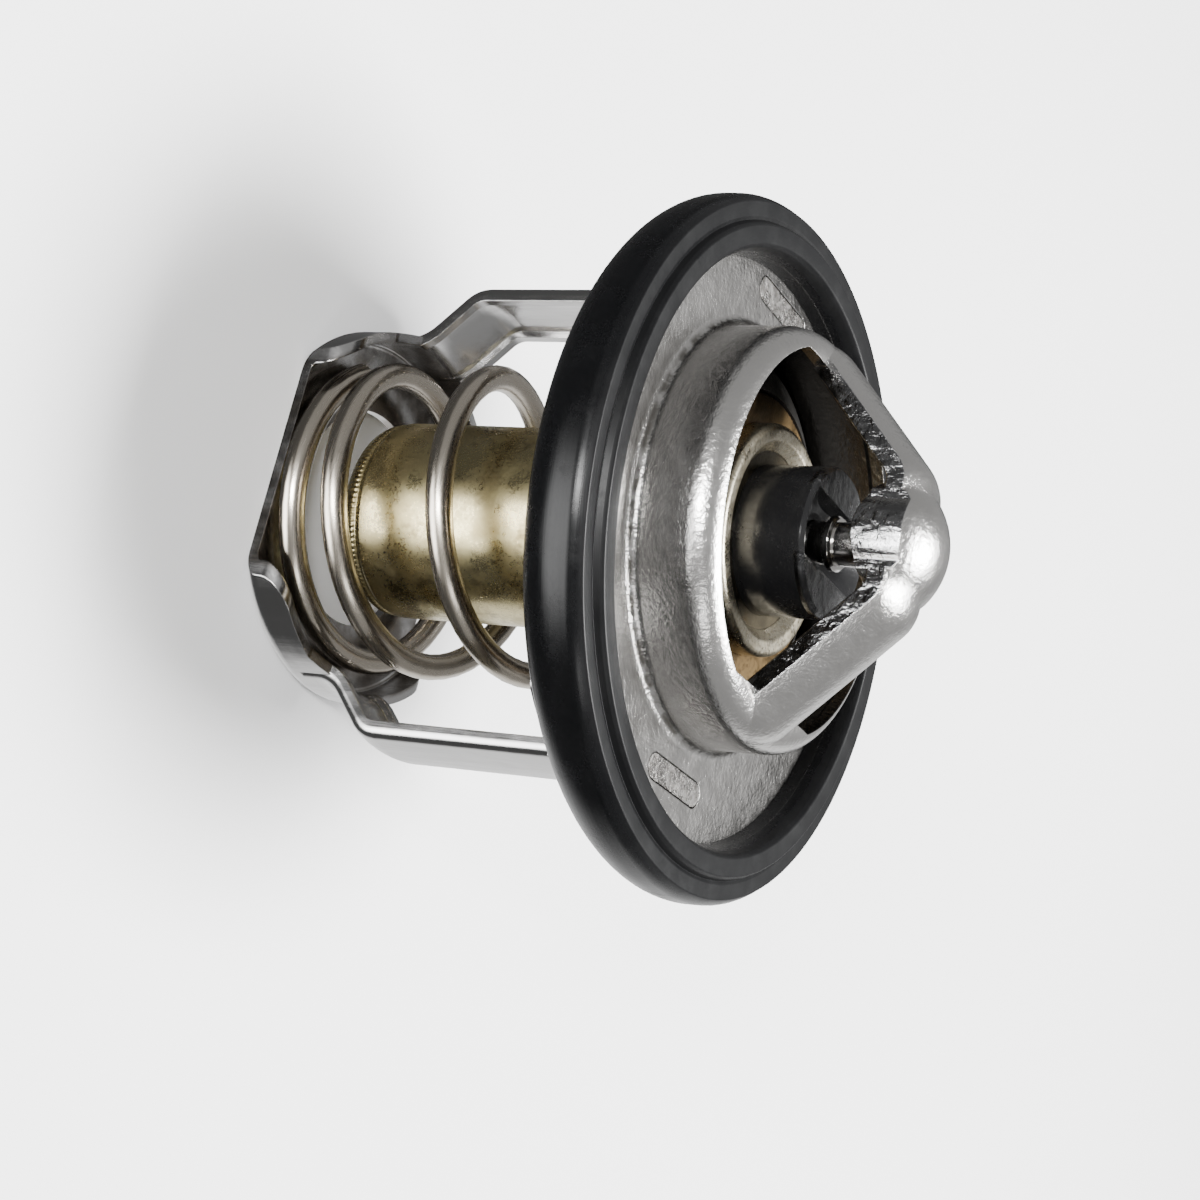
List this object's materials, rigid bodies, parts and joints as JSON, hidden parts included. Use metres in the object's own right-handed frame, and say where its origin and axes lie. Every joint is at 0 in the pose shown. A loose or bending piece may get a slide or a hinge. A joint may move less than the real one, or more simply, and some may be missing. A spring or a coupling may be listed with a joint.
{
  "type": "engine thermostat",
  "caption": "Engine thermostat with a stainless bridge housing, a rubber ring, a sprung valve and a brass wax element in a strip steel frame.",
  "frame": {"origin": "middle of the foot plate's outer face, which it stands on", "axes": "+Z along the axis towards the nose of the bridge, X along the bridge and both legs"},
  "size_m": [0.0564, 0.0564, 0.0547],
  "materials": {
    "stainless": "satin",
    "gasket_rubber": "satin",
    "frame_steel": "polished",
    "spring_steel": "satin",
    "valve_brass": "satin",
    "seal_rubber": "matte",
    "cup_brass": "stained",
    "guide_brass": "satin",
    "membrane_rubber": "matte",
    "wax": "waxy",
    "plug_rubber": "matte",
    "washer_plastic": "matte",
    "piston_steel": "ground",
    "boot_rubber": "gloss"
  },
  "bodies": {
    "frame": {"housing": "stainless", "gasket_ring": "gasket_rubber", "lower_frame": "frame_steel", "main_spring": "spring_steel", "piston": "piston_steel"},
    "valve": {"valve_disc": "valve_brass", "valve_seal": "seal_rubber", "element_cup": "cup_brass", "element_guide": "guide_brass", "membrane": "membrane_rubber", "wax_charge": "wax", "plug": "plug_rubber", "plug_washer": "washer_plastic", "boot": "boot_rubber"}
  },
  "joints": [
    {"name": "valve_lift", "type": "slide", "parent": "frame", "child": "valve", "axis": [0, 0, -1], "range_m": [0, 0.008], "stiffness_N_per_m": 5000, "springref_m": -0.01, "deforming": ["main_spring"]}
  ]
}
